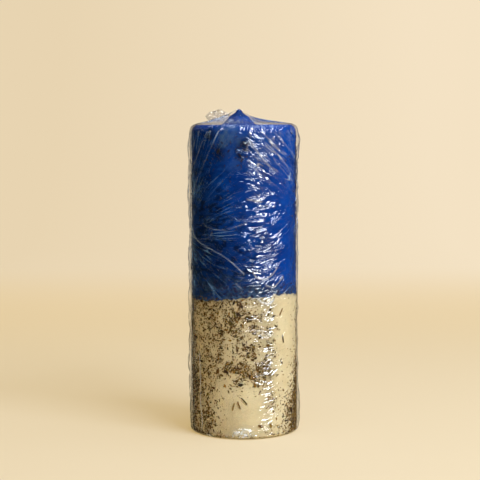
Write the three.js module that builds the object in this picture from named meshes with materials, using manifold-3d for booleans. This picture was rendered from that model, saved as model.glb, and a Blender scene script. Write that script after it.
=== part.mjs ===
// Two-colour pillar candle, rolled in dried herbs and wrapped in one sheet of clear film.
// Millimetres, +Z up. The origin is on the candle's axis, at the underside of the film.
// Angles go round the candle from its front (-Y): 90 degrees is its right-hand side (+X).

import * as THREE from "three";
import { mergeVertices } from "three/addons/utils/BufferGeometryUtils.js";
import Module from "manifold-3d";

const wasm = await Module();
wasm.setup();

// Wax body: a cream pour below, a blue pour above
const waxRadius = 29;
const creamHeight = 77;
const blueHeight = 94;
const rimRound = 4;
const baseRound = 1.5;

// Mound of blue wax drawn up round the wick, and the dipped tip on top of it
const moundRadius = 9.8;
const moundTopRadius = 5.2;
const moundHeight = 4.6;
const moundHollow = 0.5;
const tipShoulderRadius = 2;
const tipHeight = 3;
const tipCrown = 0.9;
const tipCrownRadius = 1.55;
const tipCrownRise = 0.68;
const tipWall = 1;

// Wick, which the pourer set a little off the axis, and its metal sustainer
const wickRadius = 1.3;
const wickOffset = 2.6;
const wickClear = 0.3;
const tabRadius = 7.5;
const tabSheet = 0.4;
const tabCollarWall = 0.5;
const tabCollarHeight = 4;
const tabClear = 0.3;

// Dried herbs between the wax and the film
const herbGap = 0.15;
const leafSheet = 0.4;
const leafLength = 3.2;
const leafWidth = 1.7;
const leafFarWidth = 1.4;
const leafSkew = 0.16;
const stemRadius = 0.32;
const stemTipRadius = 0.27;
const stemLength = 4.2;
const seedRadius = 0.42;
const seedLength = 1.9;
const herbEdge = 9;

// The larger herbs on the front: angle, height above the candle's foot, and turn from upright
const frontLeaves = [
  [-20, 37, 55],
  [-30, 37, -20],
  [17, 7, 70],
  [29, 7, 10],
  [-15, 64, 25],
  [-4, 30, 100],
  [11, 30, 20],
  [62, 13, 15],
];
const frontStems = [
  [-7, 39, 85],
  [0, 51, 30],
  [-6, 19, 20],
  [-12, 18, -15],
  [0, 21, 40],
  [46, 54, 10],
  [43, 69, -30],
];
const frontSeeds = [
  [44, 41, 15],
  [7, 52, -40],
  [25, 46, 60],
];

// Those that rose with the blue pour: angle, depth below the rim, and turn from upright
const upperLeaves = [
  [-28, 14, -35],
  [1, 10, 40],
  [-40, 5.5, 10],
];
const upperStems = [
  [-3, 17, 35],
];

// The rest are spread over the sides and the back
const backLeafCount = 9;
const backStemCount = 8;
const backSeedCount = 7;
const backFrom = 75;
const backSpan = 210;
const backLeafStart = 0.1;
const backStemStart = 0.45;
const backSeedStart = 0.8;
const backTurn = 50;

// Film: one wall stands in for the crumpled layers of thin film
const filmWall = 0.3;
const filmClear = 0.2;
const tentGap = 0.7;
const tentMidRadius = 16;
const tentMidLift = 2.4;
const tentSkirtLift = 3.5;
const baseOpening = 9;
const layerGap = 0.3;
const seamBite = 0.22;
const seamRootAngle = -62;
const seamEndAngle = -94;
const seamRamp = 5;
const seamFlare = 0.9;
const seamBottom = 16;
const tailPleats = 6;
const tailPleatDepth = 0.22;
const tailStart = 4.2;
const tailDrop = 12;

// The tail's outline: radius, and distance from its root
const tailOutline = [
  [0, 0],
  [1.1, 0.6],
  [0.9, 2.6],
  [1.9, 5.8],
  [2.1, 9.8],
  [1.5, 12.4],
  [0, 13],
];

// Facets, and how far a cutter runs past what it cuts
const roundSegments = 48;
const smallSegments = 24;
const stemSides = 7;
const seedSides = 8;
const seedRings = 5;
const leafSteps = 5;
const arcSteps = 4;
const tentSteps = 8;
const seamSteps = 10;
const cutPast = 1;

// Heights and radii that follow from the sizes above
const waxFloor = filmWall;
const creamTop = waxFloor + creamHeight;
const rimTop = creamTop + blueHeight;
const moundTop = rimTop + moundHeight;
const tipTop = moundTop + tipHeight + tipCrown;
const wickTop = tipTop - tipWall - wickClear;
const boreRadius = wickRadius + wickClear;
const herbReach = Math.max(leafSheet, 2 * stemRadius, 2 * seedRadius);
const longestHerb = Math.max(leafLength, stemLength, seedLength);
const herbEndRise = longestHerb ** 2 / (8 * waxRadius);
const filmGap = herbGap + herbReach + herbEndRise + filmClear;
const filmInner = waxRadius + filmGap;
const filmOuter = filmInner + filmWall;

const blueWax = { color: 0x0c4392, roughness: 0.55, metalness: 0 };
const creamWax = { color: 0xe5d3a4, roughness: 0.6, metalness: 0 };
const cotton = { color: 0xe4d9c3, roughness: 0.9, metalness: 0 };
const tinPlate = { color: 0xb9bbbe, roughness: 0.35, metalness: 1 };
const driedLeaf = { color: 0x5b5327, roughness: 0.9, metalness: 0 };
const driedStem = { color: 0x3d2f18, roughness: 0.85, metalness: 0 };
const driedSeed = { color: 0x2a2016, roughness: 0.6, metalness: 0 };
const clearFilm = {
  color: 0xdfe3e8,
  roughness: 0.12,
  metalness: 0,
  transparent: true,
  opacity: 0.3,
};

function point(x, y) {
  return new THREE.Vector2(x, y);
}

function piece(name, geometry, look) {
  const mesh = new THREE.Mesh(geometry, new THREE.MeshStandardMaterial(look));
  mesh.name = name;
  return mesh;
}

// A closed geometry as a solid that can be joined or cut
function solidOf(geometry) {
  const bare = geometry.clone();
  bare.deleteAttribute("normal");
  bare.deleteAttribute("uv");
  const merged = mergeVertices(bare, 1e-4);
  return new wasm.Manifold(
    new wasm.Mesh({
      numProp: 3,
      vertProperties: merged.getAttribute("position").array,
      triVerts: new Uint32Array(merged.index.array),
    }),
  );
}

function geometryOf(solid) {
  const mesh = solid.getMesh();
  const geometry = new THREE.BufferGeometry();
  const positions = new THREE.BufferAttribute(mesh.vertProperties, mesh.numProp);
  geometry.setAttribute("position", positions);
  geometry.setIndex(new THREE.BufferAttribute(mesh.triVerts, 1));
  return geometry;
}

// Twice the area inside a profile of (radius, height) points, negative when it runs clockwise
function windingOf(points) {
  let sum = 0;
  points.forEach((p, i) => {
    const next = points[(i + 1) % points.length];
    sum += p.cross(next);
  });
  return sum;
}

// A profile turned round +Z, with its faces outwards whichever way the profile was written
function turned(points, segments) {
  const outwards = windingOf(points) > 0 ? points : [...points].reverse();
  return new THREE.LatheGeometry(outwards, segments).rotateX(Math.PI / 2);
}

// A ring's profile, which closes on itself
function turnedRing(points, segments) {
  return turned([...points, points[0].clone()], segments);
}

// Points along a quarter circle, from one angle to another in degrees
function quarterArc(centre, radius, from, to, steps) {
  return Array.from({ length: steps + 1 }, (_, i) => {
    const angle = THREE.MathUtils.degToRad(from + ((to - from) * i) / steps);
    return point(centre.x + radius * Math.cos(angle), centre.y + radius * Math.sin(angle));
  });
}

function bore(radius, from, to) {
  const hole = new THREE.CylinderGeometry(radius, radius, to - from, smallSegments);
  hole.rotateX(Math.PI / 2).translate(-wickOffset, 0, (from + to) / 2);
  return solidOf(hole);
}

function creamWaxLower() {
  const foot = point(waxRadius - baseRound, waxFloor + baseRound);
  const body = turned(
    [
      point(0, waxFloor),
      ...quarterArc(foot, baseRound, -90, 0, arcSteps),
      point(waxRadius, creamTop),
      point(0, creamTop),
    ],
    roundSegments,
  );
  const discTop = waxFloor + tabSheet + tabClear;
  const collarTop = waxFloor + tabCollarHeight + tabClear;
  const collarRadius = boreRadius + tabCollarWall + tabClear;
  const solid = solidOf(body)
    .subtract(bore(boreRadius, waxFloor - cutPast, creamTop + cutPast))
    .subtract(bore(collarRadius, waxFloor - cutPast, collarTop))
    .subtract(bore(tabRadius + tabClear, waxFloor - cutPast, discTop));
  return piece("cream_wax_lower", geometryOf(solid), creamWax);
}

function blueWaxUpper() {
  const rim = point(waxRadius - rimRound, rimTop - rimRound);
  const body = turned(
    [
      point(0, creamTop),
      point(waxRadius, creamTop),
      ...quarterArc(rim, rimRound, 0, 90, arcSteps),
      point(0, rimTop),
    ],
    roundSegments,
  );
  const mound = turned(
    [
      point(0, rimTop - rimRound),
      point(moundRadius, rimTop - rimRound),
      point(moundRadius, rimTop),
      point((moundRadius + moundTopRadius) / 2 - moundHollow, rimTop + moundHeight / 2),
      point(moundTopRadius, moundTop),
      point(0, moundTop),
    ],
    smallSegments,
  ).translate(-wickOffset, 0, 0);
  const solid = solidOf(body)
    .add(solidOf(mound))
    .subtract(bore(boreRadius, creamTop - cutPast, moundTop + cutPast));
  return piece("blue_wax_upper", geometryOf(solid), blueWax);
}

// The wax that the wick's end was dipped in: a hollow cap standing on the mound
function wickTipWax() {
  const shoulder = moundTop + tipHeight;
  const cap = turnedRing(
    [
      point(boreRadius, moundTop),
      point(moundTopRadius, moundTop),
      point(tipShoulderRadius, shoulder),
      point(tipCrownRadius, shoulder + tipCrownRise),
      point(0, tipTop),
      point(0, tipTop - tipWall),
      point(boreRadius, tipTop - tipWall),
    ],
    smallSegments,
  );
  return piece("wick_tip_wax", cap, blueWax);
}

function wick() {
  const length = wickTop - waxFloor;
  const cord = new THREE.CylinderGeometry(wickRadius, wickRadius, length, smallSegments / 2);
  cord.rotateX(Math.PI / 2).translate(0, 0, waxFloor + length / 2);
  return piece("wick", cord, cotton);
}

// A pressed tin disc with a collar that grips the wick's foot
function wickSustainer() {
  const collar = boreRadius + tabCollarWall;
  const ring = turnedRing(
    [
      point(boreRadius, waxFloor),
      point(tabRadius, waxFloor),
      point(tabRadius, waxFloor + tabSheet),
      point(collar, waxFloor + tabSheet),
      point(collar, waxFloor + tabCollarHeight),
      point(boreRadius, waxFloor + tabCollarHeight),
    ],
    smallSegments,
  );
  return piece("wick_sustainer", ring, tinPlate);
}

// The film's inner face, from its edge under the base to the peak over the wick
function filmInside() {
  const foot = point(waxRadius - baseRound, waxFloor + baseRound + filmGap);
  const rim = point(waxRadius - rimRound, rimTop - rimRound);
  const shoulder = quarterArc(rim, rimRound + filmGap, 0, 90, arcSteps);
  const tent = new THREE.SplineCurve([
    shoulder[arcSteps],
    point(tentMidRadius, rimTop + tentMidLift),
    point(moundRadius, rimTop + tentSkirtLift),
    point(moundTopRadius + tentGap, moundTop + tentGap),
    point(tipShoulderRadius + tentGap, moundTop + tipHeight + tentGap),
    point(0, tipTop + tentGap),
  ]);
  return [
    point(baseOpening, waxFloor),
    ...quarterArc(foot, baseRound + filmGap, -90, 0, arcSteps),
    ...shoulder,
    ...tent.getPoints(tentSteps).slice(1),
  ];
}

// A profile moved sideways by a distance, along the mean normal at each point
function besideProfile(points, distance) {
  return points.map((p, i) => {
    const before = points[Math.max(i - 1, 0)];
    const after = points[Math.min(i + 1, points.length - 1)];
    const along = after.clone().sub(before).normalize();
    const moved = point(p.x + along.y * distance, p.y - along.x * distance);
    return p.x === 0 ? point(0, p.y + distance) : moved;
  });
}

// Leans the top of the film over to the wick, which stands beside the axis
function leanToWick(geometry) {
  const positions = geometry.getAttribute("position");
  const place = new THREE.Vector3();
  for (let i = 0; i < positions.count; i++) {
    place.fromBufferAttribute(positions, i);
    if (place.z < rimTop) continue;
    const radius = Math.hypot(place.x, place.y);
    const share = 1 - THREE.MathUtils.smoothstep(radius, moundRadius, waxRadius - rimRound);
    positions.setX(i, place.x - wickOffset * share);
  }
  return geometry;
}

function filmPouch() {
  const inside = filmInside();
  const outside = besideProfile(inside, filmWall);
  outside[0] = point(baseOpening, 0);
  const pouch = turned([...inside.reverse(), ...outside], roundSegments);
  return solidOf(leanToWick(pouch));
}

// The sheet's free edge, which laps the side and flares off it at the left
function filmSeam() {
  const rootInner = filmOuter - seamBite;
  const lapInner = filmOuter + layerGap;
  const radiusAt = (angle) => {
    const root = THREE.MathUtils.smoothstep(seamRootAngle - angle, 0, seamRamp);
    const flare = THREE.MathUtils.smoothstep(seamEndAngle + 2 * seamRamp - angle, 0, 2 * seamRamp);
    return rootInner + (lapInner - rootInner) * root + seamFlare * flare;
  };
  const side = (extra) =>
    Array.from({ length: seamSteps + 1 }, (_, i) => {
      const angle = seamRootAngle + ((seamEndAngle - seamRootAngle) * i) / seamSteps;
      const turn = THREE.MathUtils.degToRad(angle);
      const radius = radiusAt(angle) + extra;
      return point(radius * Math.sin(turn), -radius * Math.cos(turn));
    });
  const section = new THREE.Shape([...side(filmWall), ...side(0).reverse()]);
  const seamTop = rimTop - rimRound;
  const strip = new THREE.ExtrudeGeometry(section, {
    depth: seamTop - seamBottom,
    bevelEnabled: false,
  });
  return solidOf(strip.translate(0, 0, seamBottom));
}

// The spare film above the wick, twisted and laid over to the left
function filmTail() {
  const spindle = turned(
    tailOutline.map(([radius, distance]) => point(radius, distance)),
    smallSegments,
  );
  const positions = spindle.getAttribute("position");
  for (let i = 0; i < positions.count; i++) {
    const angle = Math.atan2(positions.getY(i), positions.getX(i));
    const pleat = 1 + tailPleatDepth * Math.cos(tailPleats * angle);
    positions.setX(i, positions.getX(i) * pleat);
    positions.setY(i, positions.getY(i) * pleat);
  }
  spindle.rotateY(THREE.MathUtils.degToRad(-90 - tailDrop));
  const start = moundTop + moundTopRadius - tailStart;
  return solidOf(spindle.translate(-wickOffset - tailStart, 0, start + tentGap + filmWall));
}

function clingFilm() {
  const solid = filmPouch().add(filmSeam()).add(filmTail());
  return piece("cling_film_wrap", geometryOf(solid), clearFilm);
}

function leafFlake() {
  const half = leafLength / 2;
  const outline = new THREE.Shape();
  outline.moveTo(0, -half);
  outline.quadraticCurveTo(leafWidth, -leafSkew, 0, half);
  outline.quadraticCurveTo(-leafFarWidth, leafSkew, 0, -half);
  return new THREE.ExtrudeGeometry(outline, {
    depth: leafSheet,
    bevelEnabled: false,
    curveSegments: leafSteps,
  });
}

function stemBit() {
  const stem = new THREE.CylinderGeometry(stemTipRadius, stemRadius, stemLength, stemSides);
  return stem.translate(0, 0, stemRadius);
}

function seed() {
  const grain = new THREE.SphereGeometry(seedRadius, seedSides, seedRings);
  return grain.scale(1, seedLength / (2 * seedRadius), 1).translate(0, 0, seedRadius);
}

// Lays a herb flat on the wax: angle round the candle, height above its foot, and the herb's turn
function onWax(herb, angle, height, turn) {
  const holder = new THREE.Group();
  holder.rotation.z = THREE.MathUtils.degToRad(angle);
  herb.position.set(0, -waxRadius - herbGap, waxFloor + height);
  herb.rotation.set(Math.PI / 2, 0, THREE.MathUtils.degToRad(turn), "XYZ");
  holder.add(herb);
  return holder;
}

// Places given by their depth below the rim, as places given by their height
function fromRim(places) {
  return places.map(([angle, depth, turn]) => [angle, creamHeight + blueHeight - depth, turn]);
}

// Places over the sides and the back: each next one goes on by the golden share of the span
function backPlaces(count, start) {
  const goldenShare = (Math.sqrt(5) - 1) / 2;
  const room = creamHeight + blueHeight - rimRound - 2 * herbEdge;
  return Array.from({ length: count }, (_, i) => {
    const across = (start + i * goldenShare) % 1;
    return [backFrom + backSpan * across, herbEdge + (room * (i + start)) / count, i * backTurn];
  });
}

function herbsAt(places, label, shape, look) {
  return places.map(([angle, height, turn], i) => {
    const number = String(i + 1).padStart(2, "0");
    return onWax(piece(`${label}_${number}`, shape(), look), angle, height, turn);
  });
}

function waxBody() {
  const group = new THREE.Group();
  group.add(creamWaxLower(), blueWaxUpper());
  return group;
}

function wickAssembly() {
  const group = new THREE.Group();
  group.position.x = -wickOffset;
  group.add(wick(), wickSustainer(), wickTipWax());
  return group;
}

function driedHerbs() {
  const leaves = [...frontLeaves, ...fromRim(upperLeaves), ...backPlaces(backLeafCount, backLeafStart)];
  const stems = [...frontStems, ...fromRim(upperStems), ...backPlaces(backStemCount, backStemStart)];
  const seeds = [...frontSeeds, ...backPlaces(backSeedCount, backSeedStart)];
  const group = new THREE.Group();
  group.add(
    ...herbsAt(leaves, "leaf_flake", leafFlake, driedLeaf),
    ...herbsAt(stems, "stem_bit", stemBit, driedStem),
    ...herbsAt(seeds, "seed", seed, driedSeed),
  );
  return group;
}

const candle = new THREE.Group();
candle.add(waxBody(), wickAssembly(), driedHerbs(), clingFilm());

export default candle;
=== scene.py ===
import math

import bpy
import numpy as np
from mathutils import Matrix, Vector


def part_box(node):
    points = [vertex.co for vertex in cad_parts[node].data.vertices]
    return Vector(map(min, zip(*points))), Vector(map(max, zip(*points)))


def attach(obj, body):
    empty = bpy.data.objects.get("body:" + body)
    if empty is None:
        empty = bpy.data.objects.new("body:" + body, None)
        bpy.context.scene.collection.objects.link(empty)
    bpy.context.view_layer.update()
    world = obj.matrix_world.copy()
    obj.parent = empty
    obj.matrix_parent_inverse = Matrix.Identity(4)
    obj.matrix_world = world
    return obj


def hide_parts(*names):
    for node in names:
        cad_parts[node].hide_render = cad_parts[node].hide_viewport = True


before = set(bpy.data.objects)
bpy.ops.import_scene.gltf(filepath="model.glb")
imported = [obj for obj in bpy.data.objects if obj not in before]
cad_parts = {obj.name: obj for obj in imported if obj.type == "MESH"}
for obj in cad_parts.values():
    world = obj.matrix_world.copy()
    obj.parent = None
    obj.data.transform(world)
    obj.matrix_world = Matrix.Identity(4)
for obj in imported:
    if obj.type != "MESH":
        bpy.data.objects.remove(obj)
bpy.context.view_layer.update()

# Film-wrapped two-colour pillar candle with herbs pressed into it. Metres, +Z up, front towards -Y.
# Places on its side are an angle and a height: the angle in degrees from the front, growing towards
# the right (+X), and the height in millimetres above the floor.

mm = 0.001

creamLow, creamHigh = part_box("cream_wax_lower")
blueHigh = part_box("blue_wax_upper")[1]
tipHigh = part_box("wick_tip_wax")[1]
wickLow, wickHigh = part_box("wick")
tabLow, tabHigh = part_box("wick_sustainer")

wax = {
    "radius": creamHigh.x,
    "floor": creamLow.z,
    "pour": creamHigh.z,            # where the two colours meet
    "moundHeight": 4.6 * mm,
    "moundRadius": 9.8 * mm,
    "moundTopRadius": 5.2 * mm,
    "rimRound": 4.0 * mm,
    "baseRound": 1.5 * mm,
    "lump": 0.14 * mm,              # how far the poured side is from a true cylinder
    "columns": 288,
}
wax["moundTop"] = blueHigh.z
wax["rim"] = blueHigh.z - wax["moundHeight"]
wickX = (wickLow.x + wickHigh.x) / 2


# Shapes worked out on grids

def ease(t):
    t = np.clip(t, 0, 1)
    return t * t * (3 - 2 * t)


# x = radius sin(angle), y = -radius cos(angle): angle nought faces the front
def roundPoints(angle, radius, height, centreX=0.0):
    x = centreX + radius * np.sin(angle)
    y = -radius * np.cos(angle)
    return np.stack([x, y, height + 0 * x], axis=-1)


# Quads between the rows and columns of a grid; a closed grid joins its last column to its first
def gridFaces(rows, columns, closed=True):
    row = np.arange(rows - 1)[:, None] * columns
    column = np.arange(columns if closed else columns - 1)[None, :]
    after = (column + 1) % columns
    quads = [row + column, row + after, row + columns + after, row + columns + column]
    return np.stack(quads, axis=-1).reshape(-1, 4)


# Triangles from one row of a grid to a middle point, which closes a pole
def poleFaces(row, columns, middle, facingDown, closed=True):
    column = np.arange(columns if closed else columns - 1)
    here = row * columns + column
    after = row * columns + (column + 1) % columns
    pair = [after, here] if facingDown else [here, after]
    return np.stack(pair + [np.full(len(column), middle)], axis=-1)


def makePiece(name, points, faces, material, smooth=True):
    mesh = bpy.data.meshes.new(name)
    mesh.from_pydata(points.tolist(), [], faces)
    if smooth:
        mesh.polygons.foreach_set("use_smooth", np.ones(len(faces), bool))
    mesh.materials.append(material)
    mesh.update()
    piece = bpy.data.objects.new(name, mesh)
    bpy.context.scene.collection.objects.link(piece)
    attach(piece, "root")
    return piece


# A turned skin: rows of a grid from the bottom up, closed at both ends by a pole
def makeTurned(name, grid, poles, material):
    rows, columns = grid.shape[:2]
    points = np.concatenate([grid.reshape(-1, 3), np.array(poles)])
    faces = gridFaces(rows, columns).tolist()
    faces += poleFaces(0, columns, rows * columns, True).tolist()
    faces += poleFaces(rows - 1, columns, rows * columns + 1, False).tolist()
    return makePiece(name, points, faces, material)


def setValues(piece, name, values):
    layer = piece.data.attributes.new(name, "FLOAT", "POINT")
    layer.data.foreach_set("value", np.asarray(values, np.float32).ravel())


def setColours(piece, name, values):
    layer = piece.data.color_attributes.new(name, "FLOAT_COLOR", "POINT")
    layer.data.foreach_set("color", np.asarray(values, np.float32).ravel())


# The piece's flat map: a place in metres on the sheet for each point
def setFlatMap(piece, across, up):
    mesh = piece.data
    corner = np.empty(len(mesh.loops), np.int32)
    mesh.loops.foreach_get("vertex_index", corner)
    flat = np.stack([np.ravel(across), np.ravel(up)], axis=-1)[corner]
    mesh.uv_layers.new(name="flatMap").data.foreach_set("uv", flat.astype(np.float32).ravel())


latticeRows = 997    # rows of random heights before the noise repeats upwards


# Noise between -1 and 1: random heights at lattice corners, blended by an S-curve, repeating round
# the candle
def latticeNoise(u, v, cellsU, seed):
    table = np.random.default_rng(seed).random((cellsU, latticeRows)) * 2 - 1
    i = np.floor(u).astype(int)
    j = np.floor(v).astype(int)
    fu = ease(u - i)
    fv = ease(v - j)
    i0, i1 = i % cellsU, (i + 1) % cellsU
    j0, j1 = j % latticeRows, (j + 1) % latticeRows
    low = table[i0, j0] * (1 - fu) + table[i1, j0] * fu
    high = table[i0, j1] * (1 - fu) + table[i1, j1] * fu
    return low * (1 - fv) + high * fv


def sideNoise(angle, height, cell, seed):
    cellsU = max(3, int(round(2 * math.pi * wax["radius"] / cell)))
    return latticeNoise(angle / (2 * math.pi) * cellsU, height / cell, cellsU, seed)


# Distance round the side from a given angle, in metres, the short way
def arcFrom(angle, degrees):
    turn = np.remainder(angle - math.radians(degrees) + math.pi, 2 * math.pi) - math.pi
    return turn * wax["radius"]


# Sum of soft spots: each is a bell over its width and height, with its share at the middle
def spotSum(angle, height, spots):
    total = 0 * (angle + height)
    for a, z, wide, tall, share in spots:
        across = arcFrom(angle, a) / (wide * mm)
        up = (height - z * mm) / (tall * mm)
        total = total + share * np.exp(-0.5 * (across ** 2 + up ** 2))
    return total


# Where chopped herbs stuck to the cream wax: angle, height, reach across and up (mm), density
herbSpots = [
    (-34, 67, 14, 6, 1.15), (-2, 68, 9, 5, 1.5), (10, 60, 6, 5, 0.9), (-50, 55, 7, 7, 0.45),
    (-20, 60, 8, 4, 1.2), (-26, 50, 7, 4, 1.2), (3, 48, 8, 5, 1.5), (20, 56, 4, 5, 0.6),
    (4, 39, 10, 4, 1.3), (-14, 38, 8, 4, 0.9), (-24, 37, 8, 4, 1.4), (-42, 38, 4, 4, 1.1),
    (16, 36, 5, 4, 1.1),
    (-4, 29, 4, 4, 2.2), (10, 30, 3, 4, 1.1), (-44, 24, 6, 9, 0.9), (-38, 10, 7, 8, 0.7),
    (-50, 8, 6, 7, 0.7), (32, 54, 3.5, 7, 0.9), (29, 38, 4, 8, 1.2), (28, 22, 4, 5, 1.5),
    (66, 8, 6, 7, 4.5), (80, 16, 5, 12, 3.0), (-70, 40, 6, 24, 0.8), (-62, 14, 6, 12, 1.1),
    (6, 2, 8, 2.5, 1.5), (-45, 1.4, 14, 0.8, 3.5), (-20, 1.2, 10, 0.7, 2.5),
    (110, 30, 12, 16, 1.4), (130, 60, 14, 10, 1.2), (165, 20, 14, 12, 1.2),
    (178, 52, 10, 14, 1.5), (-150, 58, 14, 12, 1.5), (-140, 18, 12, 12, 1.2), (-110, 45, 10, 18, 1.3),
]
herbGaps = [(-12, 10, 11, 12, 0.9), (52, 45, 8, 22, 1.0), (-12, 50, 4, 3, 0.5), (12, 12, 7, 10, 0.7)]

# Where some were carried into the blue wax, in the same words
blueHerbSpots = [
    (-28, 157, 3, 3, 1.3), (1, 161, 3, 3, 1.5), (-3, 155, 3.5, 3, 1.2), (-41, 166, 3, 2, 1.0),
    (-20, 82, 14, 3, 1.3), (20, 80, 14, 2, 1.2), (-40, 98, 10, 14, 0.35), (60, 81, 12, 3, 1.2),
    (-80, 142, 2, 4, 3.0), (-76, 98, 3, 5, 2.5), (82, 146, 3, 12, 1.5), (82, 110, 3, 12, 1.0),
    (140, 90, 14, 8, 0.9), (-150, 130, 14, 12, 0.7), (170, 150, 10, 6, 0.8), (110, 125, 8, 10, 0.6),
]

# Where they are heaped, whatever the clumps do
herbHeaps = [(64, 9, 6, 8, 1.6), (80, 18, 6, 14, 1.6), (-30, 67, 16, 7, 0.35), (-50, 30, 5, 24, 0.15),
             (-44, 72, 10, 4, 0.4), (0, 74, 14, 2.5, 0.4)]


def herbDensity(angle, height):
    clumps = 0.85 + 0.9 * sideNoise(angle, height, 4.5 * mm, 11) + 0.7 * sideNoise(angle, height, 2 * mm, 12)
    spots = spotSum(angle, height, herbSpots)
    gaps = np.clip(1 - spotSum(angle, height, herbGaps), 0, 1)
    return (0.03 + spots * np.clip(clumps, 0.25, 1.8)) * gaps + spotSum(angle, height, herbHeaps)


print("shapes ready")


# Materials

# Inputs of a node, by name or number: a socket is linked to the input, a plain value is set on it
def setInputs(tree, node, inputs):
    for name, value in inputs.items():
        if isinstance(value, bpy.types.NodeSocket):
            tree.links.new(value, node.inputs[name])
        else:
            node.inputs[name].default_value = value


def addNode(tree, kind, inputs=None, **settings):
    node = tree.nodes.new("ShaderNode" + kind)
    for name, value in settings.items():
        setattr(node, name, value)
    setInputs(tree, node, inputs or {})
    return node


def mathNode(tree, operation, first, second=0.0, clamp=False):
    node = addNode(tree, "Math", {0: first, 1: second}, operation=operation, use_clamp=clamp)
    return node.outputs["Value"]


def mixColours(tree, factor, under, over, kind="MIX"):
    inputs = {"Factor": factor, "A": under, "B": over}
    return addNode(tree, "Mix", inputs, data_type="RGBA", blend_type=kind).outputs["Result"]


def attributeValue(tree, name, output="Fac"):
    return addNode(tree, "Attribute", attribute_name=name).outputs[output]


def mixByAttribute(tree, name, under, over):
    return mixColours(tree, attributeValue(tree, name), under, (*over, 1))


def noiseValue(tree, place, **inputs):
    inputs = {name.capitalize(): value for name, value in inputs.items()}
    return addNode(tree, "TexNoise", {"Vector": place, **inputs}).outputs["Fac"]


def newMaterial(name):
    material = bpy.data.materials.new(name)
    material.use_nodes = True
    tree = material.node_tree
    tree.nodes.clear()
    shader = addNode(tree, "BsdfPrincipled")
    addNode(tree, "OutputMaterial", {"Surface": shader.outputs["BSDF"]})
    return material, tree, shader


def setSurface(tree, surface):
    setInputs(tree, tree.nodes["Material Output"], {"Surface": surface})


def newGroup(name, inputs, outputs):
    group = bpy.data.node_groups.new(name, "ShaderNodeTree")
    for way, sockets in (("INPUT", inputs), ("OUTPUT", outputs)):
        for socket, kind in sockets.items():
            group.interface.new_socket(socket, in_out=way, socket_type="NodeSocket" + kind)
    return group, group.nodes.new("NodeGroupInput").outputs, group.nodes.new("NodeGroupOutput")


# Mottle and grain: two colours mixed by cloudy noise, and a fine grain as height for the normal
def makeMottleGroup():
    group, given, out = newGroup(
        "mottleAndGrain",
        {"Dark": "Color", "Pale": "Color", "Cloud Scale": "Float", "Grain Scale": "Float",
         "Grain Depth": "Float"},
        {"Colour": "Color", "Normal": "Vector", "Cloud": "Float"})
    place = addNode(group, "TexCoord").outputs["Object"]
    cloud = noiseValue(group, place, scale=given["Cloud Scale"], detail=5, roughness=0.62)
    spread = addNode(group, "MapRange", {"Value": cloud, "From Min": 0.32, "From Max": 0.66})
    spread = spread.outputs["Result"]
    grain = noiseValue(group, place, scale=given["Grain Scale"], detail=4)
    bump = addNode(group, "Bump", {"Strength": given["Grain Depth"], "Distance": 0.3 * mm, "Height": grain})
    blend = mixColours(group, spread, given["Dark"], given["Pale"])
    setInputs(group, out, {"Colour": blend, "Normal": bump.outputs["Normal"], "Cloud": spread})
    return group


mottleGroup = makeMottleGroup()


def addMottle(tree, dark, pale, cloudScale, grainScale, grainDepth):
    inputs = {"Dark": (*dark, 1), "Pale": (*pale, 1), "Cloud Scale": cloudScale, "Grain Scale": grainScale,
              "Grain Depth": grainDepth}
    return addNode(tree, "Group", node_tree=mottleGroup, inputs=inputs).outputs


# Wax: mottled colour, darker where herbs stain it and where shade is painted in, clouded where the other
# colour bled in
def waxMaterial(name, look):
    material, tree, shader = newMaterial(name)
    mottle = addMottle(tree, look["dark"], look["pale"], look["cloudScale"], 800, 0.25)
    stainedAndShaded = mixByAttribute(tree, "stainAndShade", mottle["Colour"], look["stainAndShade"])
    setInputs(tree, shader, {
        "Base Color": mixByAttribute(tree, "bleed", stainedAndShaded, look["bleed"]),
        "Normal": mottle["Normal"],
        "Roughness": look["roughness"],
        "Specular IOR Level": look["gloss"],
        "Subsurface Weight": look["depth"],
        "Subsurface Radius": (1.0, 0.7, 0.4),
        "Subsurface Scale": 1.2 * mm,
    })
    return material


blueLook = {
    "dark": (0.001, 0.034, 0.28), "pale": (0.002, 0.066, 0.45), "stainAndShade": (0.001, 0.008, 0.045),
    "bleed": (0.07, 0.15, 0.30), "cloudScale": 95, "roughness": 0.6, "depth": 0.1, "gloss": 0.02,
}
creamLook = {
    "dark": (0.65, 0.59, 0.39), "pale": (0.79, 0.75, 0.54), "stainAndShade": (0.42, 0.28, 0.10),
    "bleed": (0.26, 0.24, 0.22), "cloudScale": 60, "roughness": 0.55, "depth": 0.3, "gloss": 0.2,
}
blueWax = waxMaterial("blueWax", blueLook)
creamWax = waxMaterial("creamWax", creamLook)


# Dried herb: each flake's own tone, with a little mottle over it
def herbMaterial(name, roughness):
    material, tree, shader = newMaterial(name)
    tone = attributeValue(tree, "tone", "Color")
    mottle = addMottle(tree, (0.6, 0.6, 0.6), (1.3, 1.3, 1.3), 1400, 3000, 0.4)
    colour = mixColours(tree, 1, tone, mottle["Colour"], "MULTIPLY")
    setInputs(tree, shader, {"Base Color": colour, "Normal": mottle["Normal"], "Roughness": roughness})
    return material


driedHerb = herbMaterial("driedHerb", 0.7)

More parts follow.
